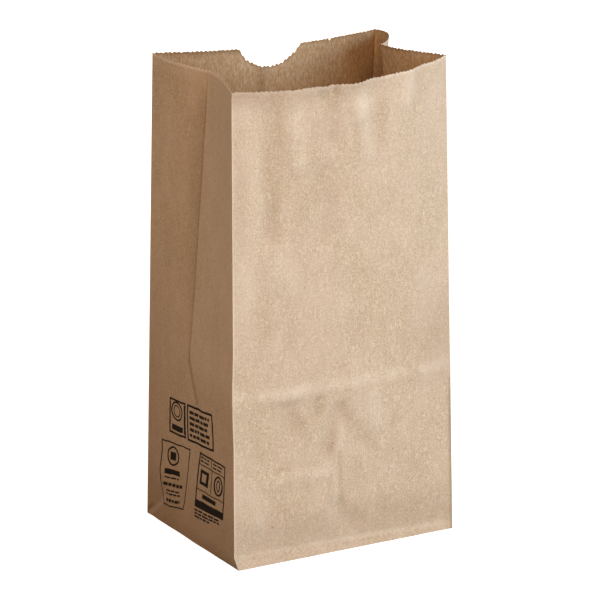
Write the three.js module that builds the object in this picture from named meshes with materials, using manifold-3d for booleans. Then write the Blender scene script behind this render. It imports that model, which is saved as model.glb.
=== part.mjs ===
// A brown paper lunch bag standing open: one sheet of kraft paper, folded into a tube with two gussets and
// pasted down a lap seam, with a flat base folded from the same sheet. It is all one piece.
//
// Millimetres, +Z up, +X along the near wall, +Y from the near wall to the far wall. The origin is the
// middle of the base, on the surface that the bag stands on. Seen from above, the walls are walked
// counter-clockwise from the near left corner: near wall, right gusset, far wall, left gusset.
import * as THREE from "three";
import { mergeVertices } from "three/addons/utils/BufferGeometryUtils.js";
import Module from "manifold-3d";

// Driving dimensions
const WIDTH = 154; // folded width of the near wall and of the far wall
const DEPTH = 107.5; // folded width of a gusset
const HEIGHT = 314; // paper from the base fold up to the cut edge
const PLY = 0.12; // thickness of the paper
const BASE_SHEAR = 15; // how far the far side of the base has slid to the left

// Cut edge of the mouth
const TOOTH_PITCH = 2.8;
const TOOTH_DEPTH = 1.1;
const NOTCH_WIDTH = 43; // thumb notch in the far wall
const NOTCH_DEPTH = 12.7;

// Folds and creases, as heights up the paper
const GUSSET_FOLDS_FROM = 122; // the gussets are flat below this and fold inwards above it
const BASE_CREASE = { nearLeft: 9.7, nearRight: 4.7, farRight: 6, farLeft: 8 };
const FLAT_CREASE = { nearLeft: 115.2, nearRight: 112.1, farRight: 113, farLeft: 114 };
const FLAT_CREASE_RISE = 1.1; // how far the near wall stands out along the crease left by the folded base
const FLAT_CREASE_REACH = 30;
const BASE_TUCK = 3; // how far the near left corner is drawn in between the base crease and the base

// Pasted laps
const LAP_WIDTH = 12; // lengthwise seam, down the middle of the far wall
const FLAP_LAP = 18; // near and far base flaps over each other
const FLAP_WELD = 0.02; // how deep one ply runs into the next where they are pasted
const FOLD_SETBACK = 0.1; // how far a base flap's fold stands in from the wall above it
const TAB_TAPER = 4; // how much narrower the far flap's tab is at its end

// Triangle counts
const WALL_COLUMNS = 16;
const GUSSET_COLUMNS = 5;
const ROLLED_COLUMNS = 10;
const STEP = 4; // height of one step when a line of paper is followed upwards

const vec = (x, y) => new THREE.Vector2(x, y);
const halfBase = Math.sqrt(DEPTH ** 2 - BASE_SHEAR ** 2) / 2;

// Each corner's place in the base, and how far the same corner of the mouth leans from it.
const corners = {
  nearLeft: { base: vec((BASE_SHEAR - WIDTH) / 2, -halfBase), lean: vec(-2.9, -8.1) },
  nearRight: { base: vec((BASE_SHEAR + WIDTH) / 2, -halfBase), lean: vec(-5.4, 10) },
  farRight: { base: vec((WIDTH - BASE_SHEAR) / 2, halfBase), lean: vec(-1.9, -21.5) },
  farLeft: { base: vec((-WIDTH - BASE_SHEAR) / 2, halfBase), lean: vec(3.4, -14.6) },
};

// Each gusset crease lies between two corners, and at the mouth stands this far in from halfway.
const creases = {
  rightCrease: { between: ["nearRight", "farRight"], push: vec(-18, 4.7) },
  leftCrease: { between: ["farLeft", "nearLeft"], push: vec(11.8, -1.2) },
};

// 1 at the middle, falling in straight lines to 0 at the given reach on either side.
const ridge = (distance, reach) => Math.max(0, 1 - Math.abs(distance) / reach);

// Height of a level crease where it crosses a point of a panel, from its heights at the four corners.
function creaseHeight(crease, panel, v) {
  const at = (fold) =>
    fold in crease ? crease[fold] : (crease[creases[fold].between[0]] + crease[creases[fold].between[1]]) / 2;
  return THREE.MathUtils.lerp(at(panel.from), at(panel.to), v);
}

// Where an upright fold line of the sheet stands, seen from above, at a height up the paper.
function foldLine(name, height) {
  if (name in creases) {
    const { between, push } = creases[name];
    const middle = foldLine(between[0], height).add(foldLine(between[1], height)).multiplyScalar(0.5);
    const folded = Math.max(0, (height - GUSSET_FOLDS_FROM) / (HEIGHT - GUSSET_FOLDS_FROM));
    return middle.addScaledVector(push, folded);
  }
  const { base, lean } = corners[name];
  const place = base.clone().addScaledVector(lean, height / HEIGHT);
  if (name === "nearLeft") {
    place.x += BASE_TUCK * ridge(height, BASE_CREASE.nearLeft);
    place.x -= FLAT_CREASE_RISE * ridge(height - FLAT_CREASE.nearLeft, FLAT_CREASE_REACH);
  }
  return place;
}

// The sheet's six panels between fold lines. A panel's bow is how far it stands out from the straight line
// between its folds, and how far it slides along it, at v (0 to 1 across the panel) and a height.
const arch = (v, waves = 1) => Math.sin(waves * Math.PI * v);
const panels = [
  {
    from: "nearLeft",
    to: "nearRight",
    width: WIDTH,
    columns: WALL_COLUMNS,
    bow(v, height) {
      const full = 17.8 * arch(v) - 1.0 * arch(v, 2) + 1.1 * arch(v, 3);
      const crease = creaseHeight(FLAT_CREASE, this, v);
      const flat = FLAT_CREASE_RISE * ridge(height - crease, FLAT_CREASE_REACH);
      return { out: full * (height / HEIGHT) ** 1.6 + flat, along: 0 };
    },
  },
  {
    from: "nearRight",
    to: "rightCrease",
    width: DEPTH / 2,
    columns: GUSSET_COLUMNS,
    bow: (v, height) => ({ out: -2.5 * arch(v ** 1.5) * (height / HEIGHT) ** 2, along: 0 }),
  },
  {
    from: "rightCrease",
    to: "farRight",
    width: DEPTH / 2,
    columns: ROLLED_COLUMNS,
    // rolled outwards into an ear at the mouth
    bow(v, height) {
      const rolled = (height / HEIGHT) ** 5;
      return { out: 7.5 * arch(v) ** 0.7 * rolled, along: 9 * arch(v) * v * v * rolled };
    },
  },
  {
    from: "farRight",
    to: "farLeft",
    width: WIDTH,
    columns: WALL_COLUMNS,
    bow: (v, height) => ({ out: -10.5 * arch(v) * (height / HEIGHT) ** 1.4, along: 0 }),
  },
  {
    from: "farLeft",
    to: "leftCrease",
    width: DEPTH / 2,
    columns: GUSSET_COLUMNS,
    bow: (v, height) => ({ out: 3 * arch(v) * (height / HEIGHT) ** 3, along: 0 }),
  },
  {
    from: "leftCrease",
    to: "nearLeft",
    width: DEPTH / 2,
    columns: GUSSET_COLUMNS,
    bow: (v, height) => ({ out: -0.6 * arch(v) * (height / HEIGHT) ** 3, along: 0 }),
  },
];
const farWall = panels[3];

// Where the sheet stands, seen from above: on the line between its two folds, moved by the panel's bow.
function planPoint(panel, v, height) {
  const start = foldLine(panel.from, height);
  const chord = foldLine(panel.to, height).sub(start);
  const outward = vec(chord.y, -chord.x).normalize();
  const { out, along } = panel.bow(v, height);
  start.addScaledVector(chord, v).addScaledVector(outward, out);
  return start.addScaledVector(chord.normalize(), along);
}

// Level outward normal of one panel at a point.
function panelNormal(panel, v, height) {
  const reach = 0.01;
  const behind = planPoint(panel, Math.max(0, v - reach), height);
  const ahead = planPoint(panel, Math.min(1, v + reach), height);
  return vec(ahead.y - behind.y, behind.x - ahead.x).normalize();
}

// Direction that both faces of the sheet move apart in. At a fold it is the mitre between two panels, long
// enough to keep the paper's thickness on either side.
function thicknessDirection(index, v, height) {
  const own = panelNormal(panels[index], v, height);
  if (v > 0 && v < 1) return own;
  const other = v === 0 ? (index + panels.length - 1) % panels.length : (index + 1) % panels.length;
  const next = panelNormal(panels[other], v === 0 ? 1 : 0, height);
  return own.clone().add(next).divideScalar(1 + own.dot(next));
}

// The height that a point of the sheet reaches: each upright line of paper keeps its length, so the more it
// leans the lower it ends.
function standingHeight(panel, v, height) {
  const steps = Math.max(1, Math.ceil(height / STEP));
  const length = height / steps;
  let standing = 0;
  let below = planPoint(panel, v, 0);
  for (let i = 1; i <= steps; i += 1) {
    const above = planPoint(panel, v, i * length);
    standing += Math.sqrt(Math.max(0, length ** 2 - above.distanceToSquared(below)));
    below = above;
  }
  return standing;
}

// Depth of the thumb notch: a round cut, steeper on the left side as one looks in from the near wall.
function notchDepth(panel, v) {
  const across = ((v - 0.5) * WIDTH) / (NOTCH_WIDTH / 2);
  if (panel !== farWall || Math.abs(across) >= 1) return 0;
  const round = across > 0 ? (1 - across ** 2.2) ** 0.75 : 1 - (-across) ** 1.9;
  return NOTCH_DEPTH * round;
}

// Extra paper outside the far wall where the sheet's two edges are pasted together.
const lapStep = (panel, v) => (panel === farWall && Math.abs(v - 0.5) * WIDTH < LAP_WIDTH / 2 ? PLY : 0);

// Stations across one panel: its columns, with a pair either side of each edge of the lap seam.
function stations(panel) {
  const places = Array.from({ length: panel.columns }, (_, i) => i / panel.columns);
  if (panel === farWall) {
    const edge = LAP_WIDTH / 2 / WIDTH;
    const gap = 0.05 / WIDTH;
    for (const side of [-1, 1]) places.push(0.5 + side * (edge - gap), 0.5 + side * (edge + gap));
  }
  return places.sort((a, b) => a - b);
}

// A row of the sheet's points, walked all the way round: the height up the paper is a function of the point.
function makeRow(heightAt, placesOf) {
  const row = [];
  panels.forEach((panel, index) => {
    for (const v of placesOf(panel)) row.push({ walk: index + v, index, panel, v, height: heightAt(panel, v) });
  });
  return row;
}

// The cut edge: saw teeth along the whole mouth and round the notch.
function toothedRow() {
  const teeth = (panel) => Math.round(panel.width / TOOTH_PITCH);
  const places = (panel) => Array.from({ length: 2 * teeth(panel) }, (_, i) => i / (2 * teeth(panel)));
  const height = (panel, v) => {
    const isGullet = Math.round(v * 2 * teeth(panel)) % 2 === 1;
    return HEIGHT - notchDepth(panel, v) - (isGullet ? TOOTH_DEPTH : 0);
  };
  return makeRow(height, places);
}

const FLOOR = 3 * PLY; // three plies of base: gusset flaps, near flap and far flap
const TOP_BAND = 20; // the rows of this band follow the cut edge and its notch
const bandHeight = (share) => (panel, v) =>
  HEIGHT - TOP_BAND + share * (TOP_BAND - notchDepth(panel, v) - TOOTH_DEPTH);
const rows = [
  ...[
    () => 0,
    (panel, v) => creaseHeight(BASE_CREASE, panel, v),
    () => 30,
    () => DEPTH / 2,
    () => 84,
    (panel, v) => creaseHeight(FLAT_CREASE, panel, v),
    () => GUSSET_FOLDS_FROM,
    () => 143.5,
    () => 175,
    () => 205,
    () => 235,
    () => 260,
    () => 278,
    bandHeight(0),
    bandHeight(0.4),
    bandHeight(0.8),
  ].map((heightAt) => makeRow(heightAt, stations)),
  toothedRow(),
];

// Vertices of both faces of the sheet, row by row.
const positions = [];
const faces = [];
function addVertex(x, y, z) {
  positions.push(x, y, z);
  return positions.length / 3 - 1;
}
rows.forEach((row, r) => {
  for (const point of row) {
    const plan = planPoint(point.panel, point.v, point.height);
    const across = thicknessDirection(point.index, point.v, point.height);
    const standing = FLOOR - PLY + standingHeight(point.panel, point.v, point.height);
    const outer = plan.clone().addScaledVector(across, lapStep(point.panel, point.v));
    const inner = plan.clone().addScaledVector(across, -PLY);
    point.outer = addVertex(outer.x, outer.y, standing);
    point.inner = addVertex(inner.x, inner.y, r === 0 ? FLOOR : standing);
  }
});

// Joins two rows that may have different numbers of points, always stepping along the row that lags behind.
function joinRows(lower, upper, side, flip) {
  const push = (a, b, c) => (flip ? faces.push(a, c, b) : faces.push(a, b, c));
  const end = panels.length;
  const walkOf = (row, i) => (i < row.length ? row[i].walk : end);
  const vertex = (row, i) => row[i % row.length][side];
  let i = 0;
  let j = 0;
  while (i < lower.length || j < upper.length) {
    const stepLower = j >= upper.length || (i < lower.length && walkOf(lower, i + 1) <= walkOf(upper, j + 1));
    if (stepLower) {
      push(vertex(lower, i), vertex(lower, i + 1), vertex(upper, j));
      i += 1;
    } else {
      push(vertex(lower, i), vertex(upper, j + 1), vertex(upper, j));
      j += 1;
    }
  }
}
for (let r = 1; r < rows.length; r += 1) {
  joinRows(rows[r - 1], rows[r], "outer", false);
  joinRows(rows[r - 1], rows[r], "inner", true);
}

// The rim of the mouth, one ply wide, closes the two faces together.
const rim = rows[rows.length - 1];
rim.forEach((point, i) => {
  const next = rim[(i + 1) % rim.length];
  faces.push(point.outer, next.outer, next.inner, point.outer, next.inner, point.inner);
});

// The floor ply, between the lowest rows of the two faces.
const ring = rows[0];
const planOf = (index) => vec(positions[3 * index], positions[3 * index + 1]);
for (const side of ["outer", "inner"]) {
  const outline = ring.map((point) => planOf(point[side]));
  for (const [a, b, c] of THREE.ShapeUtils.triangulateShape(outline, [])) {
    const triangle = [ring[a][side], ring[b][side], ring[c][side]];
    faces.push(...(side === "inner" ? triangle : triangle.reverse()));
  }
}

const sheet = new THREE.BufferGeometry();
sheet.setAttribute("position", new THREE.Float32BufferAttribute(positions, 3));
sheet.setIndex(faces);

// A place on the base: along the walls' width from the left, and in from the near fold towards the far one.
function basePoint(fromLeft, fromNear) {
  const nearLeft = corners.nearLeft.base;
  const intoBag = corners.farLeft.base.clone().sub(nearLeft).divideScalar(DEPTH);
  return nearLeft.clone().add(vec(fromLeft, 0)).addScaledVector(intoBag, fromNear);
}

// A cut edge across a base flap: saw teeth from one end to the other, at a reach in from the flap's own fold.
function toothedCut(from, to, reachAt) {
  const count = Math.round(Math.abs(to - from) / TOOTH_PITCH) * 2;
  return Array.from({ length: count + 1 }, (_, i) => {
    const fromLeft = THREE.MathUtils.lerp(from, to, i / count);
    return [fromLeft, reachAt(fromLeft) - (i % 2) * TOOTH_DEPTH];
  });
}

// A base flap: a trapezoid, folded in at 45 degrees from both ends of its own fold up to the middle of the
// base, then square up to its cut edge.
function flapOutline(isFar) {
  const half = DEPTH / 2;
  const reach = half + FLAP_LAP / 2;
  const left = isFar ? half : half + BASE_TUCK;
  const right = WIDTH - half;
  // the far flap ends in the tab that the knife left when it cut the notch of the next bag
  const tabHalf = NOTCH_WIDTH / 2 - TAB_TAPER;
  const tab = (fromLeft) => {
    const across = Math.abs(fromLeft - WIDTH / 2) / tabHalf;
    return isFar && across < 1 ? NOTCH_DEPTH * (1 - across ** 4) : 0;
  };
  const cut = toothedCut(right, left, (fromLeft) => reach + tab(fromLeft));
  const start = isFar ? 0 : BASE_TUCK;
  const fold = [[start + FOLD_SETBACK, FOLD_SETBACK], [WIDTH - FOLD_SETBACK, FOLD_SETBACK]];
  const inwards = [...fold, [right, half], ...cut, [left, half]];
  return inwards.map(([fromLeft, fromFold]) => basePoint(fromLeft, isFar ? DEPTH - fromFold : fromFold));
}

function flap(isFar, bottom) {
  const outline = flapOutline(isFar);
  const shape = new THREE.Shape(isFar ? outline.reverse() : outline);
  const geometry = new THREE.ExtrudeGeometry(shape, { depth: PLY + FLAP_WELD, bevelEnabled: false });
  return geometry.translate(0, 0, bottom);
}

// Joins plies into one closed body.
const wasm = await Module();
wasm.setup();
function solidOf(geometry) {
  const bare = new THREE.BufferGeometry();
  bare.setAttribute("position", geometry.getAttribute("position"));
  bare.setIndex(geometry.getIndex());
  const merged = mergeVertices(bare, 1e-4);
  const triVerts = new Uint32Array(merged.index.array);
  return new wasm.Manifold(
    new wasm.Mesh({ numProp: 3, vertProperties: merged.attributes.position.array, triVerts }),
  );
}
const whole = solidOf(sheet).add(solidOf(flap(false, PLY))).add(solidOf(flap(true, 0)));
const { vertProperties, triVerts } = whole.getMesh();

const bagGeometry = new THREE.BufferGeometry();
bagGeometry.setAttribute("position", new THREE.Float32BufferAttribute(vertProperties, 3));
bagGeometry.setIndex(Array.from(triVerts));
bagGeometry.computeVertexNormals();

const kraftPaper = new THREE.MeshStandardMaterial({ color: 0xc9ab8a, roughness: 0.85, metalness: 0 });
const bag = new THREE.Mesh(bagGeometry, kraftPaper);
bag.name = "paper_bag";

const model = new THREE.Group();
model.add(bag);

export default model;
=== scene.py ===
"""A brown kraft paper lunch bag standing open: gussets, pasted base, saw-toothed mouth, thumb notch.

Shapes are worked out in millimetres and put into the meshes in metres. +X runs along the near wall to
the right, +Y from the near wall to the far wall, +Z up. The sheet is walked counter-clockwise, seen from
above, from the near left fold: near wall, right gusset, far wall, left gusset.
"""

import math
from dataclasses import dataclass
from typing import Callable

import bpy
import numpy as np
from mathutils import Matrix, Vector


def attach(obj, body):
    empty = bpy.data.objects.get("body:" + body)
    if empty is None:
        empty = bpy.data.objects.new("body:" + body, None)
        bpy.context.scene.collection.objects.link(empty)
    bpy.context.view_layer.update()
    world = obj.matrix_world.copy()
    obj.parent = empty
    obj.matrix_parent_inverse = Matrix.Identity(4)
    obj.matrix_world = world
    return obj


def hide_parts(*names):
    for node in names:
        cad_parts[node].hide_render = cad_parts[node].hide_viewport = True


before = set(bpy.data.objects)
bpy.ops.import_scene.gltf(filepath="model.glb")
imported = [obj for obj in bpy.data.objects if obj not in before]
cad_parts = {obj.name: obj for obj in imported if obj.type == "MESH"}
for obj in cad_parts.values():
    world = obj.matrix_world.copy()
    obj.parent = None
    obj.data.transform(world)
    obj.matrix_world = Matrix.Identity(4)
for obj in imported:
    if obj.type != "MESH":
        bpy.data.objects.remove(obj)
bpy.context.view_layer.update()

MM = 0.001

# --------------------------------------------------------------------------------------- dimensions

WIDTH = 154.0  # folded width of the near wall and of the far wall
DEPTH = 107.5  # folded width of a gusset
HALF_GUSSET = DEPTH / 2
HEIGHT = 314.0  # paper from the base fold up to the cut edge
PLY = 0.12  # thickness of the paper
BASE_SHEAR = 15.0  # how far the far side of the base has slid to the left
HALF_BASE = math.sqrt(DEPTH**2 - BASE_SHEAR**2) / 2

TOOTH_PITCH = 2.8
TOOTH_DEPTH = 1.1
NOTCH_WIDTH = 43.0
NOTCH_DEPTH = 12.7
LAP_WIDTH = 12.0  # the lengthwise pasted seam, down the middle of the far wall
SEAM_GAP = 0.05  # how far either side of the lap's edge its step is
SEAM_LINE = 0.06  # reach of the dark line along that edge
FLAP_LAP = 18.0  # near and far base flaps over each other
FLAP_SETBACK = 0.3  # how far in from its fold a base flap begins
FLAP_PLY = 0.95 * PLY  # a little under one ply, so that stacked plies do not meet
TAB_TAPER = 4.0  # how much narrower than the notch the far flap's tab is, on either side
NICK_AT = 35.0  # a nick in the cut edge of the far wall, from its right fold
NICK_DEPTH = 1.4

GUSSET_FOLDS_FROM = 122.0  # height where a gusset's middle crease begins
FOLD_SHOULDER = 0.6  # a fold's roundness, either side of its line
FOLD_EASING = 0.35  # how far a fold's line is eased towards the paper beside it, as a share
BASE_TUCK = 3.0  # how far the near left fold is tucked in at the base
CREASE_RISE = 1.1  # how far the near wall stands out at its level crease
CREASE_REACH = 30.0  # how far above the crease that reaches

# Heights of the two level creases at the four corners.
BASE_CREASE = {"near_left": 9.7, "near_right": 4.7, "far_right": 6.0, "far_left": 8.0}
FLAT_CREASE = {"near_left": 115.2, "near_right": 112.1, "far_right": 113.0, "far_left": 114.0}

# Each corner's place in the base, and how far the same corner of the mouth leans from it.
CORNERS = {
    "near_left": (((BASE_SHEAR - WIDTH) / 2, -HALF_BASE), (-2.9, -8.1)),
    "near_right": (((BASE_SHEAR + WIDTH) / 2, -HALF_BASE), (-5.4, 10.0)),
    "far_right": (((WIDTH - BASE_SHEAR) / 2, HALF_BASE), (-1.9, -21.5)),
    "far_left": (((-WIDTH - BASE_SHEAR) / 2, HALF_BASE), (3.4, -14.6)),
}

# Each gusset crease lies between two corners, and at the mouth stands this far in from halfway.
GUSSET_CREASES = {
    "right_crease": (("near_right", "far_right"), (-18.0, 4.7)),
    "left_crease": (("far_left", "near_left"), (11.8, -1.2)),
}


# ---------------------------------------------------------------------------------- profile helpers


def ridge(distance, reach):
    """1 at distance 0, falling in straight lines to 0 at the reach on either side."""
    return np.maximum(0.0, 1.0 - np.abs(distance) / reach)


def hump(distance, reach):
    """1 at distance 0, falling smoothly to 0 at the reach: (1 - (distance / reach) squared) squared."""
    return np.maximum(0.0, 1.0 - (distance / reach) ** 2) ** 2


def step_up(value, low, high):
    """0 below low, 1 above high, and 3 t squared - 2 t cubed between."""
    t = np.clip((value - low) / (high - low), 0.0, 1.0)
    return t * t * (3.0 - 2.0 * t)


def arch(v, waves=1):
    """Sine of that many half waves across a panel."""
    return np.sin(waves * np.pi * v)


def crease_dent(x, height, start, end, reach):
    """A hump of the distance from the line between start and end: 1 on it, 0 at the reach."""
    line = np.subtract(end, start)
    length = np.hypot(*line)
    along = ((x - start[0]) * line[0] + (height - start[1]) * line[1]) / length
    across = ((x - start[0]) * line[1] - (height - start[1]) * line[0]) / length
    past = np.maximum(0.0, np.maximum(-along, along - length))
    return hump(np.hypot(across, past), reach)


def cockle(x, height, seed, size, length):
    """Gentle random waves of paper, about 1 high: a sum of cosines of random direction and phase."""
    random = np.random.default_rng(seed)
    total = np.zeros(np.broadcast(x, height).shape)
    waves = 9
    for _ in range(waves):
        kx = random.normal(0.0, 1.0) * 2 * np.pi / size
        kh = random.normal(0.0, 1.0) * 2 * np.pi / length
        total = total + np.cos(kx * x + kh * height + random.uniform(0.0, 2 * np.pi))
    return total / math.sqrt(waves)


# ----------------------------------------------------------------------------- relief of each panel


def crease_profile(distance):
    """Relief of the level crease: two ridges added above it, and below it a hump and a longer ridge."""
    above = 0.75 * ridge(distance, 11.0) + 0.25 * ridge(distance, CREASE_REACH)
    below = 0.45 * hump(distance, 14.0) + 0.55 * ridge(distance, 36.0)
    return np.where(distance > 0, above, below)


def base_valley(height, crease):
    """The shallow valley at the base crease: straight down to the base fold, and easing out above it."""
    below = height / np.maximum(crease, 0.1)
    above = hump(height - crease, 24.0)
    return np.where(height < crease, below, above)


# Soft ridges and hollows of the near wall: both ends (x from the left fold, height), reach, relief.
NEAR_WALL_DENTS = [
    ((77, 312), (80, 292), 11, 1.8),  # upright ridge down from the mouth, leaning right
    ((79, 296), (87, 266), 8, 1.2),
    ((34, 308), (38, 268), 10, 1.2),  # its neighbour to the left
    ((93, 307), (97, 262), 7, -0.7),
    ((10, 285), (10, 225), 12, 0.8),  # full beside the left fold
    ((21, 298), (23, 222), 9, -1.1),
    ((22, 206), (30, 194), 16, 0.9),
    ((56, 305), (51, 280), 8, -1.0),  # hollow that widens downwards from a kink of the cut edge
    ((59, 302), (63, 277), 10, -1.3),
    ((57, 258), (60, 222), 13, -1.4),
    ((70, 228), (74, 215), 9, 0.5),
    ((70, 172), (74, 166), 12, 0.6),
    ((84, 151), (82, 147), 10, -0.6),
    ((26, 108), (48, 107), 5, -0.7),  # slack just below the level crease
    ((36, 102), (40, 92), 11, -1.8),
    ((57, 107), (54, 97), 5, -1.2),
    ((72, 99), (63, 72), 7, -1.6),  # left leg of the fan of folds
    ((74, 100), (78, 90), 8, -0.6),  # right leg of the fan, bent
    ((78, 90), (92, 68), 8, -0.9),
    ((71, 86), (71, 74), 6, 0.8),
    ((94, 106), (96, 84), 8, 1.1),
    ((72, 67), (73, 34), 3, -0.7),
    ((69, 52), (69, 34), 4, 0.6),
    ((22, 57), (64, 57), 6, 1.0),
    ((118, 49), (124, 48), 13, -0.8),
    ((6, 14), (16, 30), 9, 0.7),
    ((8, 9), (28, 38), 8, -0.9),  # slanting crease from the near left base corner
    ((72, 30), (80, 20), 12, -1.8),
    ((100, 24), (107, 22), 9, -0.6),
    ((62, 315), (62, 309), 4, -1.8),  # kinks of the cut edge
    ((68, 315), (68, 309), 5, 0.7),
    ((116, 313), (117, 296), 8, 1.0),
    ((128, 313), (128, 296), 8, -1.0),
]


def near_wall_relief(x, height, flat, base):
    """Millimetres that the near wall stands out, x from its left fold: the sum of creases and dents."""
    edge_free = step_up(x, 0.0, 8.0) * step_up(WIDTH - x, 0.0, 8.0)
    out = CREASE_RISE * crease_profile(height - flat)
    out = out - 1.3 * base_valley(height, base) * edge_free
    for start, end, reach, rise in NEAR_WALL_DENTS:
        out = out + rise * crease_dent(x, height, start, end, reach) * edge_free
    return out + 0.22 * edge_free * cockle(x, height, seed=11, size=30.0, length=80.0)


# Creases of the left gusset: both ends (distance from its near fold, height), reach, relief.
LEFT_GUSSET_DENTS = [
    ((53, 121), (45, 98), 7, -0.9),  # where the middle crease runs out into the flat part
    ((88, 36), (82, 26), 17, 1.9),  # the paper bulges over the crease from the far corner
    ((60, 50), (66, 30), 12, -0.5),
    ((30, 60), (36, 34), 14, 0.4),
]


def gusset_relief(from_near, height):
    """Relief of a gusset: a valley along each crease that the folded base leaves at 45 degrees.

    The valley has straight sides below the crease and a smooth one above, and is deeper in the far half.
    """
    from_edge = HALF_GUSSET - np.abs(from_near - HALF_GUSSET)
    edge_free = step_up(from_edge, 0.0, 10.0)
    diagonal = (height - from_edge) / math.sqrt(2)
    strength = step_up(from_edge, 0.5, 10.0) * ridge(height - 14.0, 32.0)
    far_side = step_up(from_near, HALF_GUSSET - 8, HALF_GUSSET + 8)
    valley = np.where(diagonal < 0, ridge(diagonal, 10.0), hump(diagonal, 16.0))
    out = -(0.5 + 1.3 * far_side) * valley * strength
    return out + 0.14 * edge_free * cockle(from_near, height, seed=5, size=26.0, length=60.0)


def left_gusset_relief(from_near, height):
    """The left gusset's own creases on top of those that both gussets have."""
    edge_free = step_up(from_near, 0.0, 10.0) * step_up(DEPTH - from_near, 0.0, 10.0)
    out = gusset_relief(from_near, height)
    for start, end, reach, rise in LEFT_GUSSET_DENTS:
        out = out + rise * crease_dent(from_near, height, start, end, reach) * edge_free
    return out


# ---------------------------------------------------------------------------- the sheet, from above


def corner_line(name, height):
    """An upright corner fold seen from above: base plus lean times height share, tucked and kinked."""
    base, lean = CORNERS[name]
    x = base[0] + lean[0] * height / HEIGHT
    y = base[1] + lean[1] * height / HEIGHT
    if name == "near_left":
        x = x + BASE_TUCK * ridge(height, BASE_CREASE[name])
        x = x - CREASE_RISE * ridge(height - FLAT_CREASE[name], CREASE_REACH)
    return np.stack([x, y], axis=-1)


def fold_line(name, height):
    """Any upright fold seen from above: a gusset crease is halfway between corners, pushed inwards."""
    if name in CORNERS:
        return corner_line(name, height)
    (first, second), push = GUSSET_CREASES[name]
    folded = np.maximum(0.0, (height - GUSSET_FOLDS_FROM) / (HEIGHT - GUSSET_FOLDS_FROM))
    middle = (corner_line(first, height) + corner_line(second, height)) / 2
    return middle + folded[..., None] * np.array(push)


def crease_height(crease, panel, v):
    """Height of a level crease across a panel: straight from one fold's height to the other's."""

    def at(fold):
        """Its height at one fold; a gusset crease has the mean of its two corners."""
        if fold in crease:
            return crease[fold]
        first, second = GUSSET_CREASES[fold][0]
        return (crease[first] + crease[second]) / 2

    return at(panel.start) * (1 - v) + at(panel.end) * v


# A panel's bow is how far it stands out from the straight line between its folds, and how far it has
# slid along that line. v runs from 0 to 1 across it, and the share is its height over the full height.


def near_wall_bow(panel, v, height):
    """Full: one, two and three half waves times the share to the 1.6, with its relief on top."""
    full = 17.8 * arch(v) - 1.0 * arch(v, 2) + 1.1 * arch(v, 3)
    flat = crease_height(FLAT_CREASE, panel, v)
    base = crease_height(BASE_CREASE, panel, v)
    relief = near_wall_relief(v * WIDTH, height, flat, base)
    return full * (height / HEIGHT) ** 1.6 + relief, 0.0


def far_wall_bow(panel, v, height):
    """Bowed inwards: a half wave times the share to the 1.4, and relief like the near wall's."""
    x = v * WIDTH
    edge_free = step_up(x, 0.0, 10.0) * step_up(WIDTH - x, 0.0, 10.0)
    flat = crease_height(FLAT_CREASE, panel, v)
    base = crease_height(BASE_CREASE, panel, v)
    relief = 0.8 * crease_profile(height - flat) * edge_free
    relief = relief - 0.6 * base_valley(height, base) * edge_free
    relief = relief + 0.2 * edge_free * cockle(x, height, seed=23, size=40.0, length=90.0)
    return -10.5 * arch(v) * (height / HEIGHT) ** 1.4 + relief, 0.0


def right_near_bow(panel, v, height):
    """Hollow: a half wave, drawn over towards the crease, times the share squared."""
    relief = gusset_relief(v * HALF_GUSSET, height)
    return -2.5 * arch(v**1.5) * (height / HEIGHT) ** 2 + relief, 0.0


def right_far_bow(panel, v, height):
    """Rolled outwards into an ear and slid towards the far wall: half waves, the share to the 5."""
    rolled = (height / HEIGHT) ** 5
    relief = gusset_relief(HALF_GUSSET * (1 + v), height)
    return 7.5 * arch(v) ** 0.7 * rolled + relief, 9.0 * arch(v) * v * v * rolled


def left_far_bow(panel, v, height):
    """Slightly full: a half wave times the share cubed."""
    relief = left_gusset_relief(DEPTH - v * HALF_GUSSET, height)
    return 3.0 * arch(v) * (height / HEIGHT) ** 3 + relief, 0.0


def left_near_bow(panel, v, height):
    """Slightly hollow as the share cubed, and rounded in beside the crease as the share to the 12."""
    relief = left_gusset_relief(HALF_GUSSET * (1 - v), height)
    share = height / HEIGHT
    return relief - 0.6 * arch(v) * share**3 - 1.7 * arch(v**0.7) * share**12, 0.0


@dataclass
class Panel:
    """A stretch of the sheet between two upright folds."""

    start: str
    end: str
    width: float
    bow: Callable

    @property
    def teeth(self):
        """How many saw teeth its cut edge has."""
        return round(self.width / TOOTH_PITCH)


PANELS = [
    Panel("near_left", "near_right", WIDTH, near_wall_bow),
    Panel("near_right", "right_crease", HALF_GUSSET, right_near_bow),
    Panel("right_crease", "far_right", HALF_GUSSET, right_far_bow),
    Panel("far_right", "far_left", WIDTH, far_wall_bow),
    Panel("far_left", "left_crease", HALF_GUSSET, left_far_bow),
    Panel("left_crease", "near_left", HALF_GUSSET, left_near_bow),
]
NEAR, RIGHT_NEAR, RIGHT_FAR, FAR, LEFT_FAR, LEFT_NEAR = range(len(PANELS))
FAR_WALL = PANELS[FAR]


def plan_points(panel, v, height):
    """Where a panel stands, seen from above: on the line between its folds, moved by its bow."""
    start = fold_line(panel.start, height)
    chord = fold_line(panel.end, height) - start
    unit = chord / np.linalg.norm(chord, axis=-1, keepdims=True)
    outward = np.stack([unit[..., 1], -unit[..., 0]], axis=-1)
    out, along = panel.bow(panel, v, height)
    straight = start + chord * v[..., None]
    return straight + outward * out[..., None] + unit * np.asarray(along)[..., None]


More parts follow.
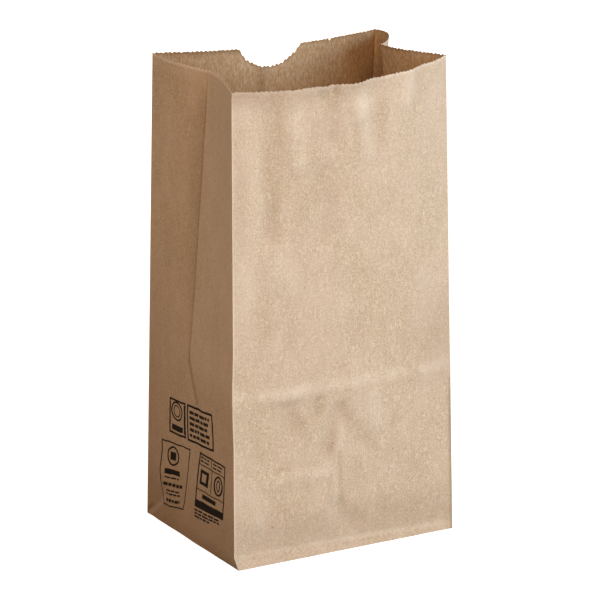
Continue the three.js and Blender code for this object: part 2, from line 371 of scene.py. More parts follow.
def notch_depth(panel, v):
    """Depth of the thumb notch: 1 minus a power of the distance from its middle, steeper on the left."""
    if panel is not FAR_WALL:
        return np.zeros_like(v)
    across = (v - 0.5) * WIDTH / (NOTCH_WIDTH / 2)
    steep = np.maximum(0.0, 1 - np.abs(across) ** 2.2) ** 0.75
    slow = np.maximum(0.0, 1 - np.abs(across) ** 1.9)
    return NOTCH_DEPTH * np.where(across > 0, steep, slow)


def stations(panel):
    """Places across a panel: every half tooth, a shoulder by each fold, and the steps of the lap."""
    places = list(np.arange(2 * panel.teeth + 1) / (2 * panel.teeth))
    places += [FOLD_SHOULDER / panel.width, 1 - FOLD_SHOULDER / panel.width]
    if panel is FAR_WALL:
        edge = LAP_WIDTH / 2 / WIDTH
        gap = SEAM_GAP / WIDTH
        places += [0.5 + side * (edge + shift) for side in (-1, 1) for shift in (-gap, gap)]
    return np.array(sorted(places))


def cut_edge(panel, v, seed):
    """Height of the saw-toothed cut: a triangle wave, its gullets uneven, and deeper round the notch."""
    random = np.random.default_rng(seed)
    waves = 2 * panel.teeth
    depths = np.zeros(waves + 1)
    depths[1::2] = TOOTH_DEPTH * random.uniform(0.5, 1.0, panel.teeth)  # gullets
    depths[2:-1:2] = TOOTH_DEPTH * random.uniform(0.0, 0.3, panel.teeth - 1)  # points
    notch = notch_depth(panel, v)
    ragged = 1 + 0.9 * np.clip(notch / NOTCH_DEPTH * 3, 0, 1)
    cut = HEIGHT - notch - ragged * np.interp(v * waves, np.arange(waves + 1), depths)
    if panel is FAR_WALL:
        cut = cut - NICK_DEPTH * ridge(v * WIDTH - NICK_AT, TOOTH_PITCH / 2)
    return cut


LOW_BAND = 30.0  # height up to which the rows over the base are close together
TOP_BAND = 20.0  # the same under the cut edge


def level_lines(panel, v, seed):
    """Lines of paper that rows of the mesh follow, as heights, with how many rows lead up to each."""
    level = np.ones_like(v)
    below_teeth = HEIGHT - notch_depth(panel, v) - 2.6 * TOOTH_DEPTH
    return [
        (0.0 * level, 0),
        (crease_height(BASE_CREASE, panel, v), 6),
        (LOW_BAND * level, 8),
        (crease_height(FLAT_CREASE, panel, v), 29),
        (GUSSET_FOLDS_FROM * level, 5),
        ((HEIGHT - TOP_BAND) * level, 57),
        (below_teeth, 9),
        (cut_edge(panel, v, seed), 1),
    ]


def row_heights(panel, v, seed):
    """Heights up the paper, a row for each line and the rows spaced evenly between the lines."""
    lines = level_lines(panel, v, seed)
    rows = [lines[0][0]]
    for (low, _), (high, count) in zip(lines, lines[1:]):
        rows += [low + (high - low) * i / count for i in range(1, count + 1)]
    return np.array(rows)


@dataclass
class PanelGrid:
    """A panel worked out on its grid: rows upwards, columns across."""

    panel: Panel
    v: np.ndarray
    height: np.ndarray
    plan: np.ndarray
    normal: np.ndarray
    standing: np.ndarray


def panel_grid(panel, seed):
    """Plan places, level normals, and standing heights.

    Each row's rise is the root of (paper between the rows squared - level run squared), so that every
    upright line keeps its length.
    """
    v = stations(panel)
    height = row_heights(panel, v, seed)
    across = np.broadcast_to(v, height.shape)
    plan = plan_points(panel, across, height)
    reach = 0.004  # share of the width over which the direction is taken
    ahead = plan_points(panel, np.minimum(1.0, across + reach), height)
    behind = plan_points(panel, np.maximum(0.0, across - reach), height)
    tangent = ahead - behind
    normal = np.stack([tangent[..., 1], -tangent[..., 0]], axis=-1)
    normal /= np.linalg.norm(normal, axis=-1, keepdims=True)
    run = np.sum(np.diff(plan, axis=0) ** 2, axis=-1)
    rise = np.sqrt(np.maximum(0.0, np.diff(height, axis=0) ** 2 - run))
    standing = 2 * PLY + np.vstack([np.zeros(len(v)), np.cumsum(rise, axis=0)])
    return PanelGrid(panel, v, height, plan, normal, standing)


GRIDS = [panel_grid(panel, seed) for seed, panel in enumerate(PANELS)]


def ring(values):
    """Joins per-panel arrays into one closed ring of columns, leaving out each panel's last column."""
    return np.concatenate([value[:, :-1] for value in values], axis=1)


def mitre_normals():
    """Level normals all round: at a fold, the mitre (a + b) / (1 + a . b) of the panels that meet."""
    joined = []
    for i, grid in enumerate(GRIDS):
        normal = grid.normal.copy()
        own = normal[:, 0]
        before = GRIDS[i - 1].normal[:, -1]
        normal[:, 0] = (own + before) / (1 + np.sum(own * before, axis=-1, keepdims=True))
        joined.append(normal)
    return ring(joined)


def fold_columns():
    """Column numbers of the six upright folds in the ring."""
    counts = [len(grid.v) - 1 for grid in GRIDS]
    return np.concatenate([[0], np.cumsum(counts)[:-1]])


def sheet_faces():
    """Outer and inner face of the sheet as two grids of points, a ply apart along the mitred normals."""
    plan = ring([grid.plan for grid in GRIDS])
    standing = ring([grid.standing for grid in GRIDS])
    normal = mitre_normals()
    folds = fold_columns()
    beside = (plan[:, folds - 1] + plan[:, (folds + 1) % plan.shape[1]]) / 2
    plan[:, folds] += FOLD_EASING * (beside - plan[:, folds])
    lap = np.concatenate([PLY * on_lap(grid)[:-1] for grid in GRIDS])
    outer = np.dstack([plan + normal * lap[None, :, None], standing])
    inner = np.dstack([plan - normal * PLY, standing])
    inner[0, :, 2] = 3 * PLY
    return outer, inner


def on_lap(grid):
    """1 where the far wall has the second ply of the pasted lap, else 0."""
    if grid.panel is not FAR_WALL:
        return np.zeros(len(grid.v))
    return (np.abs(grid.v - 0.5) * WIDTH < LAP_WIDTH / 2).astype(float)


# ------------------------------------------------------------------------------------------- meshes


def new_piece(name, points, faces, material):
    """A mesh piece from points in millimetres and lists of corner numbers, smooth but at hard edges."""
    mesh = bpy.data.meshes.new(name)
    mesh.from_pydata((np.asarray(points) * MM).tolist(), [], faces)
    mesh.update()
    mesh.shade_smooth()
    mesh.set_sharp_from_angle(angle=math.radians(50))
    mesh.materials.append(material)
    piece = bpy.data.objects.new(name, mesh)
    bpy.context.scene.collection.objects.link(piece)
    return piece


def grid_quads(rows, columns, first, closed=False, flip=False):
    """Quads of a grid of points numbered row by row; closed joins the last column to the first."""
    count = columns if closed else columns - 1
    i, j = np.meshgrid(np.arange(rows - 1), np.arange(count), indexing="ij")
    low, high = i * columns, (i + 1) * columns
    after = (j + 1) % columns
    quads = np.stack([low + j, low + after, high + after, high + j], axis=-1).reshape(-1, 4)
    if flip:
        quads = quads[:, ::-1]
    return (quads + first).tolist()


def add_point_value(piece, name, values):
    """Stores one number for each vertex, for a material to read."""
    attribute = piece.data.attributes.new(name, "FLOAT", "POINT")
    attribute.data.foreach_set("value", np.asarray(values, np.float32).ravel())


def ring_places():
    """Panel number, millimetres from the panel's start, and height, for every point of the ring."""
    height = ring([grid.height for grid in GRIDS])
    number = np.concatenate([np.full(len(grid.v) - 1, i) for i, grid in enumerate(GRIDS)])
    across = np.concatenate([grid.v[:-1] * grid.panel.width for grid in GRIDS])
    return np.broadcast_to(number, height.shape), np.broadcast_to(across, height.shape), height


def level_crease_on_ring(crease):
    """Height of a level crease at every column of the ring."""
    return np.concatenate([crease_height(crease, grid.panel, grid.v)[:-1] for grid in GRIDS])


def strongest(layers):
    """The highest of several layers at each place, and at least 0."""
    return np.maximum(0.0, np.maximum.reduce(np.broadcast_arrays(*layers)))


def wall_tone(number, across, height):
    """Pale and dark layers of the two walls' outsides, each a strength times the shape of its patch:
    worn creases, the lap's edge lines, and painted light and shade.
    """
    on_near = number == NEAR
    on_far = number == FAR
    on_walls = on_near | on_far
    over_flat = height - level_crease_on_ring(FLAT_CREASE)
    over_base = height - level_crease_on_ring(BASE_CREASE)
    from_right = WIDTH - across
    by_mouth = hump(HEIGHT - height, 16.0) * (1 - step_up(across, 80, 110))
    by_right_fold = hump(from_right, 45.0) * hump(height - 132.0, 50.0)
    from_seam = np.abs(np.abs(across - WIDTH / 2) - LAP_WIDTH / 2)
    uneven = 0.75 + 0.25 * cockle(across, height, seed=31, size=22.0, length=30.0)
    pale = [
        0.27 * on_walls * uneven * hump(over_flat - 2.8, 6.0),  # worn level crease, with painted light on its upper side
        0.3 * on_walls * uneven * hump(over_base, 2.5),  # worn base crease
        on_near * (0.04 + 0.21 * step_up(height, 150, 200)) * hump(across - 8.0, 14.0),  # painted light, a bright band by the left fold
    ]
    dark = [
        0.25 * on_walls * hump(over_base - 11.0, 24.0),  # painted shade, darker over the base crease
        # painted shade under the left part of the mouth and beside the right fold
        on_near * (0.42 * by_mouth + 0.28 * by_right_fold),
        0.8 * on_near * hump(from_right, 3.5) * (1 - step_up(height, 95, 120)),  # painted shade at the foot of the right fold
        0.3 * on_far * (from_seam < SEAM_LINE),  # edges of the lap
    ]
    # painted light along the ridges and painted shade in the hollows of the dents
    for start, end, reach, rise in NEAR_WALL_DENTS:
        dent_light_and_shade = on_near * uneven * crease_dent(across, height, start, end, 1.2 * reach)
        pale.append(0.2 * max(rise, 0.0) * dent_light_and_shade)
        dark.append(0.14 * max(-rise, 0.0) * dent_light_and_shade)
    return strongest(pale), strongest(dark)


def gusset_tone(number, across, height):
    """Pale and dark layers of the gussets' outsides, nearly all painted light and shade; most of them
    are on the left gusset.
    """
    on_left = number >= LEFT_FAR
    left_far = number == LEFT_FAR
    left_near = number == LEFT_NEAR
    near_halves = left_near | (number == RIGHT_NEAR)
    far_halves = left_far | (number == RIGHT_FAR)
    from_crease = np.where(left_far, HALF_GUSSET - across, across)
    folded = step_up(height, 100, 130)
    beside = hump(from_crease, 16.0) + 1.1 * hump(from_crease, 3.0)
    fading = 1 - 0.7 * step_up(height, 285, HEIGHT)
    run_out = crease_dent(HALF_GUSSET - across, height, (54, 121), (46, 100), 2.6)
    low = 0.66 * (1 - step_up(height, 12, 250)) + 0.25 * (1 - step_up(height, 8, 60))
    towards_far = 0.75 + 0.25 * hump(across, 45.0) * left_far
    over_diagonal = height - 0.95 * across  # the crease that slants up from the far base corner
    by_corner = left_far * (1 - step_up(across, 18, 30))
    pale = [
        0.3 * on_left * hump(HEIGHT - height, 12.0),  # below the cut edge
        # painted light on the near halves, which face the light more
        0.16 * near_halves * folded,
        0.8 * by_corner * hump(over_diagonal + 2.5, 3.5),  # painted light on the lip of the slanting crease
    ]
    dark = [
        0.34 * far_halves * folded * beside * fading,  # painted shade along the middle crease
        1.3 * left_far * hump(from_crease, 3.0) * hump(height - 127.0, 12.0),  # painted shade in its pinched end
        left_near * run_out,  # and painted shade in the faint line it runs out in
        on_left * low * towards_far,  # painted shade, darker towards the base
        left_far * hump(np.hypot(across, height), 20.0),  # painted shade in the far base corner
        1.4 * left_far * hump(over_diagonal - 2.5, 5.0) * hump(across, 24.0),  # painted shade in the hollow over the lip
        1.2 * left_near * step_up(across, 20, 45) * hump(height, 2.5),  # painted shade along the base fold
    ]
    return strongest(pale), strongest(dark)


def outer_tone():
    """How pale and how dark the outer face is at each point: folds, walls, gussets and cut edge; mostly
    painted light and shade, besides worn fibres.
    """
    number, across, height = ring_places()
    near_left, near_right, _, far_right, far_left, _ = fold_columns()
    # painted highlight along the four corner folds, brighter on one side of each, together with their
    # paler rubbed fibres; none low on the near right fold
    folds = np.zeros_like(height)
    for column in (near_left, near_right, far_right, far_left):
        folds[:, column] = 1.0
        folds[:, column + 1] = 0.4
        folds[:, column - 1] = 0.1
    folds[height[:, near_right] < 105, near_right] = 0.0
    wall_pale, wall_dark = wall_tone(number, across, height)
    gusset_pale, gusset_dark = gusset_tone(number, across, height)
    pale = strongest([folds, wall_pale, gusset_pale])
    dark = strongest([wall_dark, gusset_dark])
    # painted shade at the foot of the near right fold
    dark[:, near_right] = 0.8 * (1 - step_up(height[:, near_right], 95, 120))
    pale[-1] = np.where(number[-1] >= LEFT_FAR, 1.0, 0.45)
    pale[-2] = 0.1
    return pale, dark


def inner_tone():
    """The same for the inner face, as painted light on the far wall and right gusset, and painted shade
    in the folds, by the lap's edge and along the cut edge.
    """
    number, across, height = ring_places()
    on_far = number == FAR
    by_ear = np.hypot((across - 4) / 5, (height - 310) / 7)
    pale = [
        0.5 * on_far * hump(by_ear, 1.0),  # painted light, a patch by the far right fold
        # painted light on the right gusset's inside and on the far wall's left part
        0.5 * ((number == RIGHT_NEAR) | (number == RIGHT_FAR)),
        0.6 * on_far * hump(across - 80.0, 52.0),
    ]
    dark = [
        0.32 * on_far * hump(across - 83.0, 6.0) * step_up(height, 255, 285),  # painted shade at the edge of the lap
        # painted shade on the far wall by its right fold
        0.4 * on_far * hump(across, 26.0),
        0.45 * on_far * hump(HEIGHT - height, 7.0) * step_up(across, 84, 96),  # painted shade under the cut edge, left of the notch
    ]
    pale, dark = strongest(pale), strongest(dark)
    far_right = fold_columns()[FAR]
    # painted shade in the inner far right corner and along the inner cut edge
    dark[:, far_right] = 0.9
    dark[:, far_right + 1] = 0.7
    left_of_notch = on_far[-1] & (across[-1] > 88)
    dark[-1] = np.where(left_of_notch, 1.0, 0.6)
    return pale, dark


def make_sheet(material):
    """The folded sheet as one closed body: outer face, inner face, cut rim, and a flat floor ply."""
    outer, inner = sheet_faces()
    rows, columns = outer.shape[:2]
    count = rows * columns
    points = np.concatenate([outer.reshape(-1, 3), inner.reshape(-1, 3)])
    faces = grid_quads(rows, columns, 0, closed=True)
    faces += grid_quads(rows, columns, count, closed=True, flip=True)
    top = np.arange(columns) + (rows - 1) * columns
    after = np.roll(top, -1)
    faces += np.stack([top, after, after + count, top + count], axis=-1).tolist()
    faces.append(list(range(columns))[::-1])
    faces.append(list(range(count, count + columns)))
    sheet = new_piece("folded_sheet", points, faces, material)
    for name, outer_values, inner_values in zip(("pale", "dark"), outer_tone(), inner_tone()):
        add_point_value(sheet, name, np.concatenate([outer_values.ravel(), inner_values.ravel()]))
    add_point_value(sheet, "inside", np.repeat([0.0, 1.0], count))
    return sheet


# ------------------------------------------------------------------------- print on the left gusset

INK_PROUD = 0.05  # ink's top face over the paper
INK_SUNK = 0.05  # ink's bottom face under it
INK_STEP = 1.2  # longest step of a printed shape's grid, so that it follows the paper


def row_index(panel, v, height):
    """Fractional row of the grid at a height: each stretch between level lines adds its share."""
    lines = level_lines(panel, v, 0)
    row = np.zeros_like(height)
    for (low, _), (high, count) in zip(lines, lines[1:]):
        row = row + count * np.clip((height - low) / (high - low), 0, 1)
    return row


def on_left_gusset(from_near, height, proud, outer, normal):
    """Points on the outer face of the left gusset, read off its grid by straight lines both ways."""
    folds = fold_columns()
    column = np.zeros_like(from_near)
    row = np.zeros_like(from_near)
    for number, far_end in ((LEFT_FAR, DEPTH), (LEFT_NEAR, HALF_GUSSET)):
        inside = (from_near <= far_end) & (from_near > far_end - HALF_GUSSET)
        v = np.clip((far_end - from_near) / HALF_GUSSET, 0, 1)
        places = GRIDS[number].v
        here = folds[number] + np.interp(v, places, np.arange(len(places)))
        column = np.where(inside, here, column)
        row = np.where(inside, row_index(PANELS[number], v, height), row)
    r, c = np.floor(row).astype(int), np.floor(column).astype(int)
    up, over = (row - r)[..., None], (column - c)[..., None]
    after = (c + 1) % outer.shape[1]

    def read(values):
        """The value at each place, weighed between the four grid points round it."""
        low = values[r, c] * (1 - over) + values[r, after] * over
        high = values[r + 1, c] * (1 - over) + values[r + 1, after] * over
        return low * (1 - up) + high * up

    level = np.concatenate([read(normal), np.zeros_like(up)], axis=-1)
    return read(outer) + proud * level


@dataclass
class Mark:
    """A printed block: its corners on the gusset as (distance from near fold, height), and its size."""

    bottom_left: tuple
    bottom_right: tuple
    top_right: tuple
    top_left: tuple
    width: float
    height: float

    def place(self, x, y):
        """Block coordinates to gusset coordinates: straight between the corners, with a slight wave."""
        u, w = x / self.width, y / self.height
        corners = (self.bottom_left, self.bottom_right, self.top_right, self.top_left)
        shares = ((1 - u) * (1 - w), u * (1 - w), u * w, (1 - u) * w)
        at = sum(share[..., None] * np.array(corner) for share, corner in zip(shares, corners))
        wave = 0.35 * cockle(at[..., 0], at[..., 1], seed=3, size=30.0, length=26.0)
        return at[..., 0] + wave, at[..., 1] + 0.5 * wave


def bar(x0, y0, x1, y1):
    """A rectangle as a grid."""
    columns = max(2, math.ceil(abs(x1 - x0) / INK_STEP) + 1)
    rows = max(2, math.ceil(abs(y1 - y0) / INK_STEP) + 1)
    x, y = np.meshgrid(np.linspace(x0, x1, columns), np.linspace(y0, y1, rows))
    return x, y, False


def frame_of(x0, y0, x1, y1, line):
    """Four bars round a rectangle."""
    return [
        bar(x0, y0, x1, y0 + line),
        bar(x0, y1 - line, x1, y1),
        bar(x0, y0 + line, x0 + line, y1 - line),
        bar(x1 - line, y0 + line, x1, y1 - line),
    ]


def oval(x, y, half_width, half_height, line):
    """An upright oval line: an inner and an outer ring of cosines and sines, closed on itself."""
    turn = -np.linspace(0, 2 * np.pi, 40, endpoint=False)
    grow = np.array([[0.0], [line]]) - line
    return x + (half_width + grow) * np.cos(turn), y + (half_height + grow) * np.sin(turn), True


def words(x0, y, x1, tall, seed):
    """A line of plain dashes of uneven length, where the object has a line of small print."""
    random = np.random.default_rng(seed)
    shortest, space = 1.5, 0.9
    dashes = []
    x = x0
    while x < x1 - shortest:
        end = min(x1, x + random.uniform(2.2, 6.5))
        dashes.append(bar(x, y, end, y + tall))
        x = end + space
    return dashes


def print_shapes():
    """The three printed blocks and the plain shapes in each: frames, bars, dashes and ovals."""
    wide = Mark((79.5, 68.0), (24.0, 73.8), (25.5, 98.5), (79.5, 92.5), 55.0, 25.0)
    shapes = frame_of(0, 0, 20.5, 25, 1.4) + frame_of(22.5, 0, 55, 25, 1.5)
    shapes += [oval(9.0, 16.8, 7.0, 6.8, 1.3), oval(9.0, 16.8, 4.2, 4.2, 0.8)]
    shapes += [bar(3.2, 2.8, 16.8, 6.8), bar(18.2, 2.5, 19.0, 22.5)]
    for line in range(5):
        shapes += words(26.0, 19.0 - 3.9 * line, 50.5 - 1.5 * (line % 3), 2.1, 40 + line)
    yield wide, shapes

    tall = Mark((88.0, 13.7), (62.0, 19.0), (53.0, 65.5), (89.5, 60.0), 34.0, 47.0)
    shapes = frame_of(0, 0, 34, 47, 1.0)
    shapes += [oval(14.5, 37.0, 7.2, 7.2, 1.3)]
    shapes += [bar(11.0, 34.0, 18.0, 40.0), bar(6.0, 23.5, 23.0, 27.2)]
    shapes += words(6.5, 20.4, 22.0, 1.1, 50) + words(3.5, 15.0, 27.5, 2.3, 51)
    shapes += words(8.0, 11.2, 26.0, 1.2, 52) + words(8.0, 8.8, 26.0, 1.2, 53)
    shapes += words(7.0, 3.6, 27.0, 2.2, 54)
    yield tall, shapes

    paired = Mark((48.0, 27.6), (13.5, 30.5), (9.8, 68.4), (41.2, 68.3), 33.0, 40.0)
    shapes = frame_of(0, 0, 33, 40, 1.2)
    shapes += [bar(0.7, 31.5, 32.3, 32.2), bar(15.2, 32.2, 15.8, 39.3)]
    shapes += [bar(17.0, 15.0, 17.6, 31.5)]
    shapes += words(2.0, 36.6, 13.5, 1.1, 60) + words(2.0, 34.0, 12.0, 1.1, 61)
    shapes += words(17.5, 36.4, 30.5, 1.1, 62) + words(17.5, 33.8, 28.0, 1.1, 63)
    shapes += frame_of(3.6, 17.6, 13.8, 28.6, 2.4)
    shapes += [oval(25.2, 23.0, 5.4, 7.4, 1.5), oval(25.2, 23.0, 2.2, 4.4, 1.0)]
    shapes += [bar(0.7, 13.0, 32.3, 13.7), bar(8.5, 8.0, 23.5, 11.2), bar(0.7, 0.7, 32.3, 5.6)]
    for line, (start, end) in enumerate(((0.0, 29.0), (0.5, 31.0), (1.0, 20.0))):
        shapes += words(start, -2.8 - 2.3 * line, end, 1.3, 70 + line)
    yield paired, shapes


def slab(rows, columns, closed, first):
    """Faces of a thin closed body between two grids of points, numbered top first and then bottom."""
    count = rows * columns
    faces = grid_quads(rows, columns, first, closed)
    faces += grid_quads(rows, columns, first + count, closed, flip=True)
    number = np.arange(count).reshape(rows, columns)
    if closed:
        loops = [number[0], number[-1][::-1]]
    else:
        sides = [number[0, :-1], number[:-1, -1], number[-1, :0:-1], number[:0:-1, 0]]
        loops = [np.concatenate(sides)]
    for loop in loops:
        after = np.roll(loop, -1)
        faces += (np.stack([loop + count, after + count, after, loop], axis=-1) + first).tolist()
    return faces


def make_print(material):
    """The ink of all three blocks as one piece of many thin closed shapes that follow the paper."""
    outer, _ = sheet_faces()
    normal = mitre_normals()
    points = []
    faces = []
    for mark, shapes in print_shapes():
        for x, y, closed in shapes:
            from_near, height = mark.place(x, y)
            top = on_left_gusset(from_near, height, INK_PROUD, outer, normal)
            bottom = on_left_gusset(from_near, height, -INK_SUNK, outer, normal)
            faces += slab(*x.shape, closed, len(points))
            points += top.reshape(-1, 3).tolist() + bottom.reshape(-1, 3).tolist()
    return new_piece("gusset_print", points, faces, material)


# --------------------------------------------------------------------------------------- base flaps


def base_point(from_left, from_near):
    """A place on the base: along the walls' width from the left, and in from the near fold."""
    near_left, far_left = (np.array(CORNERS[name][0]) for name in ("near_left", "far_left"))
    into = (far_left - near_left) / DEPTH
    return near_left + from_left[..., None] * np.array([1.0, 0.0]) + from_near[..., None] * into


def make_flap(name, is_far, bottom, material):
    """A pasted base flap: in at 45 degrees from its fold to mid-base, then square to its cut."""
    across = np.linspace(0, 1, 2 * round((WIDTH - DEPTH) / TOOTH_PITCH) + 1)
    middle = HALF_GUSSET + (WIDTH - DEPTH) * across
    tab = np.maximum(0.0, 1 - np.abs((middle - WIDTH / 2) / (NOTCH_WIDTH / 2 - TAB_TAPER)) ** 4)
    tooth = TOOTH_DEPTH * (np.arange(len(across)) % 2)
    cut = HALF_GUSSET + FLAP_LAP / 2 - tooth + (NOTCH_DEPTH * tab if is_far else 0.0)
    square = np.linspace(HALF_GUSSET, cut, 3)
    slope = np.linspace(FLAP_SETBACK, HALF_GUSSET, 6)[:-1, None]
    left = slope if is_far else np.maximum(slope, BASE_TUCK)
    sloping = left + (WIDTH - slope - left) * across
    from_left = np.vstack([sloping, np.broadcast_to(middle, square.shape)])
    inwards = np.vstack([np.broadcast_to(slope, sloping.shape), square])
    plan = base_point(from_left, DEPTH - inwards if is_far else inwards)
    heights = [bottom, bottom + FLAP_PLY] if is_far else [bottom + FLAP_PLY, bottom]
    layers = [np.dstack([plan, np.full(from_left.shape, z)]) for z in heights]
    points = np.concatenate([layer.reshape(-1, 3) for layer in layers])
    return new_piece(name, points, slab(*from_left.shape, False, 0), material)


# ----------------------------------------------------------------------------------------- finishes


def srgb(text):
    """An sRGB hex colour as linear red, green, blue and alpha."""
    parts = [int(text[i : i + 2], 16) / 255 for i in (1, 3, 5)]
    return tuple(c / 12.92 if c <= 0.04045 else ((c + 0.055) / 1.055) ** 2.4 for c in parts) + (1.0,)


def add_node(tree, kind, links=None, values=None, **settings):
    """Adds a node with its settings; links and values are keyed by input name or number."""
    node = tree.nodes.new(kind)
    for key, value in settings.items():
        setattr(node, key, value)
    for key, value in (values or {}).items():
        node.inputs[key].default_value = value
    for key, socket in (links or {}).items():
        tree.links.new(socket, node.inputs[key])
    return node


def new_material(name):
    """An empty material, its node tree, and its Principled surface."""
    material = bpy.data.materials.new(name)
    material.use_nodes = True
    tree = material.node_tree
    tree.nodes.clear()
    surface = add_node(tree, "ShaderNodeBsdfPrincipled")
    add_node(tree, "ShaderNodeOutputMaterial", links={"Surface": surface.outputs["BSDF"]})
    return material, tree, surface


def grain(tree, place, size, stretch=1.0, detail=2.0, offset=0.0):
    """Noise with features of a real size in millimetres, drawn out upwards by stretch."""
    mapping = add_node(
        tree,
        "ShaderNodeMapping",
        links={"Vector": place},
        values={"Scale": (1.0, 1.0, 1.0 / stretch), "Location": (offset, offset, offset)},
    )
    noise = add_node(
        tree,
        "ShaderNodeTexNoise",
        links={"Vector": mapping.outputs["Vector"]},
        values={"Scale": 1.0 / (size * MM), "Detail": detail, "Roughness": 0.6},
    )
    return noise.outputs["Fac"]


def ramp(tree, factor, low, high):
    """Spreads a factor so that low becomes 0 and high becomes 1."""
    node = add_node(
        tree, "ShaderNodeMapRange", links={"Value": factor}, values={"From Min": low, "From Max": high}
    )
    return node.outputs["Result"]


def tint(tree, factor, colour, other, blend="MIX"):
    """Mixes two colours, each a hex text or a socket, by a factor that is a number or a socket."""
    node = add_node(tree, "ShaderNodeMix", data_type="RGBA", blend_type=blend, clamp_factor=True)
    for index, value in ((0, factor), (6, colour), (7, other)):
        if isinstance(value, str):
            node.inputs[index].default_value = srgb(value)
        elif isinstance(value, (int, float)):
            node.inputs[index].default_value = value
        else:
            tree.links.new(value, node.inputs[index])
    return node.outputs[2]


def scaled(tree, factor, by):
    """A factor multiplied by a number."""
    node = add_node(tree, "ShaderNodeMath", links={0: factor}, values={1: by}, operation="MULTIPLY")
    return node.outputs["Value"]


def kraft_paper():
    """Unbleached machine-made kraft: matt brown pulp, its fibres along the web, upright in the walls."""
    material, tree, surface = new_material("natural_kraft_paper")
    place = add_node(tree, "ShaderNodeTexCoord").outputs["Object"]

    # pulp grain and fibre streaks: real fibres are 0.03 mm across, and are drawn 0.8 mm across to show
    speck = grain(tree, place, 0.8, stretch=1.4, detail=1.0, offset=3.1)
    streak = grain(tree, place, 0.8, stretch=9.0, detail=2.0)
    colour = tint(tree, ramp(tree, speck, 0.33, 0.67), "#a0876c", "#c8b095")
    colour = tint(tree, scaled(tree, ramp(tree, streak, 0.34, 0.66), 0.6), colour, "#a98f73")

    # cloudy formation of the web: patches a few millimetres and a few centimetres across
    patch = grain(tree, place, 4.0, stretch=3.0, detail=2.0, offset=5.3)
    colour = tint(tree, scaled(tree, ramp(tree, patch, 0.4, 0.7), 0.22), colour, "#a0856a")
    cloud = grain(tree, place, 22.0, stretch=1.8, detail=3.0, offset=7.7)
    colour = tint(tree, scaled(tree, ramp(tree, cloud, 0.4, 0.7), 0.4), colour, "#c2a792")

    # sparse dark shives and pale fibres that catch the eye close up
    shive = grain(tree, place, 1.3, stretch=2.0, detail=1.0, offset=12.3)
    colour = tint(tree, scaled(tree, ramp(tree, shive, 0.70, 0.80), 0.5), colour, "#6f4f33")
    fibre = grain(tree, place, 0.9, stretch=3.0, detail=1.0, offset=21.9)
    colour = tint(tree, scaled(tree, ramp(tree, fibre, 0.66, 0.82), 0.3), colour, "#ddc9ae")

    # pale: rubbed folds and the cut edge show paler broken fibres, mixed with painted highlights on
    # folds, creases and ridges; dark: painted shade in creases, hollows, corners and along the cut edge,
    # and dark lines at the lap's edges
    pale = add_node(tree, "ShaderNodeAttribute", attribute_name="pale").outputs["Fac"]
    colour = tint(tree, scaled(tree, pale, 0.75), colour, "#dcc9b4")
    dark = add_node(tree, "ShaderNodeAttribute", attribute_name="dark").outputs["Fac"]
    colour = tint(tree, scaled(tree, dark, 0.7), colour, "#6e4f33")

    # the inner face is the rough side of the web, unglazed; its darker, warmer brown is partly that and
    # partly painted warm bounce light inside the bag
    inside = add_node(tree, "ShaderNodeAttribute", attribute_name="inside").outputs["Fac"]
    coarse = grain(tree, place, 0.9, stretch=4.0, detail=2.0, offset=31.7)
    rough = tint(tree, ramp(tree, coarse, 0.36, 0.66), "#e2cfae", "#ffffff")
    warm = tint(tree, 1.0, rough, "#fffaf0", blend="MULTIPLY")
    colour = tint(tree, inside, colour, warm, blend="MULTIPLY")
    tree.links.new(colour, surface.inputs["Base Color"])

    both = add_node(tree, "ShaderNodeMath", links={0: streak, 1: speck}, operation="ADD")
    bump = add_node(
        tree,
        "ShaderNodeBump",
        links={"Height": both.outputs["Value"]},
        values={"Strength": 0.5, "Distance": PLY * MM},
    )
    tree.links.new(bump.outputs["Normal"], surface.inputs["Normal"])
    surface.inputs["Roughness"].default_value = 0.86
    surface.inputs["IOR"].default_value = 1.45
    return material


def printing_ink():
    """Matt water-based black-brown ink sunk into the paper, so hardly any shine."""
    material, tree, surface = new_material("matt_brown_black_ink")
    place = add_node(tree, "ShaderNodeTexCoord").outputs["Object"]
    uneven = grain(tree, place, 1.0, stretch=1.5, detail=2.0)
    colour = tint(tree, ramp(tree, uneven, 0.35, 0.7), "#0e0703", "#1f1409")
    tree.links.new(colour, surface.inputs["Base Color"])
    surface.inputs["Roughness"].default_value = 0.8
    surface.inputs["Specular IOR Level"].default_value = 0.15
    return material


# -------------------------------------------------------------------------------------------- stage

CAMERA_AZIMUTH = math.radians(25.206)  # round to the left of the near wall
CAMERA_ELEVATION = math.radians(20.167)
CAMERA_DISTANCE = 1.8383  # metres
CAMERA_LENS = 175.0
CAMERA_AIM = Vector((0.0, -1.6, 152.9)) * MM
LIGHT_AIM = Vector((0.0, 0.0, 150.0)) * MM
FLOOR_REACH = 6.0  # metres

# Softboxes: azimuth from the near wall's front, elevation, metres away, metres square, watts, colour.
SOFT_LIGHTS = {
    "key": (28, 11, 2.6, 1.6, 99.0, "#cbe7ff"),
    "high_fill": (-10, 50, 1.8, 0.9, 17.0, "#ffdcb4"),
    "left_fill": (-75, 30, 1.8, 0.9, 2.4, "#ffc8a0"),
    "back_fill": (-120, 25, 1.8, 0.9, 3.3, "#fff4ea"),
    "rear_fill": (165, 20, 1.8, 0.9, 11.0, "#fff0e0"),
}


def bearing(azimuth, elevation):
    """Unit direction that is turned by the azimuth from +Y towards +X, and raised by the elevation."""
    level = math.cos(elevation)
    return Vector((math.sin(azimuth) * level, math.cos(azimuth) * level, math.sin(elevation)))


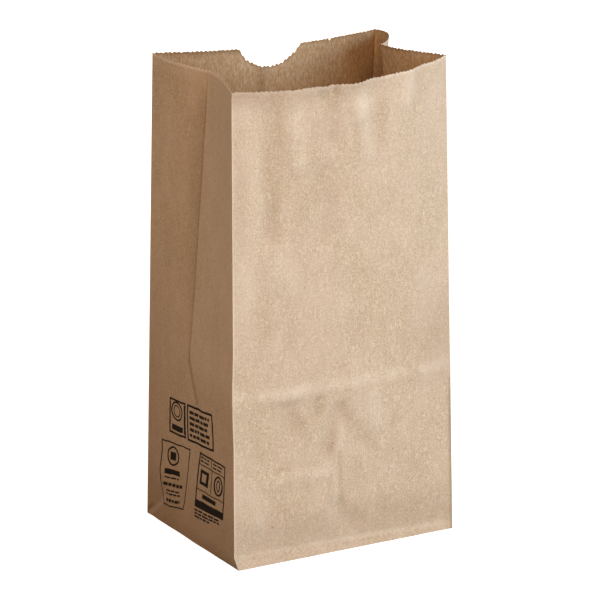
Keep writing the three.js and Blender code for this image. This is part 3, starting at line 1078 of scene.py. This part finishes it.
def make_camera():
    """A long lens that looks down at the middle of the bag from the near left."""
    direction = bearing(CAMERA_AZIMUTH, -CAMERA_ELEVATION)
    data = bpy.data.cameras.new("camera")
    data.sensor_width = 36.0
    data.lens = CAMERA_LENS
    camera = bpy.data.objects.new("camera", data)
    camera.location = CAMERA_AIM - direction * CAMERA_DISTANCE
    camera.rotation_euler = direction.to_track_quat("-Z", "Y").to_euler()
    bpy.context.scene.collection.objects.link(camera)
    bpy.context.scene.camera = camera


def soft_light(name, azimuth, elevation, distance, size, power, colour):
    """A square studio softbox aimed at the middle of the bag."""
    towards = bearing(math.radians(180 - azimuth), math.radians(elevation))
    data = bpy.data.lights.new(name, "AREA")
    data.shape = "SQUARE"
    data.size = size
    data.energy = power
    data.color = srgb(colour)[:3]
    light = bpy.data.objects.new(name, data)
    light.location = LIGHT_AIM + towards * distance
    light.rotation_euler = (-towards).to_track_quat("-Z", "Y").to_euler()
    bpy.context.scene.collection.objects.link(light)


def make_stage():
    """Floor and surround washed nearly white, a cool key right of the near wall, and warm fills."""
    material, tree, surface = new_material("pale_studio_floor")
    surface.inputs["Base Color"].default_value = srgb("#cdc8be")
    surface.inputs["Roughness"].default_value = 0.9
    surface.inputs["Emission Color"].default_value = srgb("#ffffff")
    seen = add_node(tree, "ShaderNodeLightPath").outputs["Is Camera Ray"]
    tree.links.new(scaled(tree, seen, 0.9), surface.inputs["Emission Strength"])
    mesh = bpy.data.meshes.new("floor")
    corners = [(x * FLOOR_REACH, y * FLOOR_REACH, 0) for x, y in ((-1, -1), (1, -1), (1, 1), (-1, 1))]
    mesh.from_pydata(corners, [], [[0, 1, 2, 3]])
    mesh.materials.append(material)
    floor = bpy.data.objects.new("floor", mesh)
    bpy.context.scene.collection.objects.link(floor)

    world = bpy.data.worlds.new("surround")
    bpy.context.scene.world = world
    world.use_nodes = True
    tree = world.node_tree
    glow = tree.nodes["Background"]
    glow.inputs["Color"].default_value = srgb("#ffebd8")
    glow.inputs["Strength"].default_value = 0.27
    white = {"Color": srgb("#ffffff"), "Strength": 1.0}
    backdrop = add_node(tree, "ShaderNodeBackground", values=white)
    seen = add_node(tree, "ShaderNodeLightPath").outputs["Is Camera Ray"]
    shown = add_node(
        tree,
        "ShaderNodeMixShader",
        links={0: seen, 1: glow.outputs["Background"], 2: backdrop.outputs["Background"]},
    )
    tree.links.new(shown.outputs["Shader"], tree.nodes["World Output"].inputs["Surface"])
    for name, settings in SOFT_LIGHTS.items():
        soft_light(name, *settings)
    bpy.context.scene.view_settings.view_transform = "Standard"


# ------------------------------------------------------------------------------------------ the bag

make_camera()
make_stage()
paper = kraft_paper()
sheet = make_sheet(paper)
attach(sheet, "root")
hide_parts("paper_bag")
ink = make_print(printing_ink())
near_flap = make_flap("near_base_flap", False, PLY, paper)
far_flap = make_flap("far_base_flap", True, 0.0, paper)
for piece in (ink, near_flap, far_flap):
    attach(piece, "root")
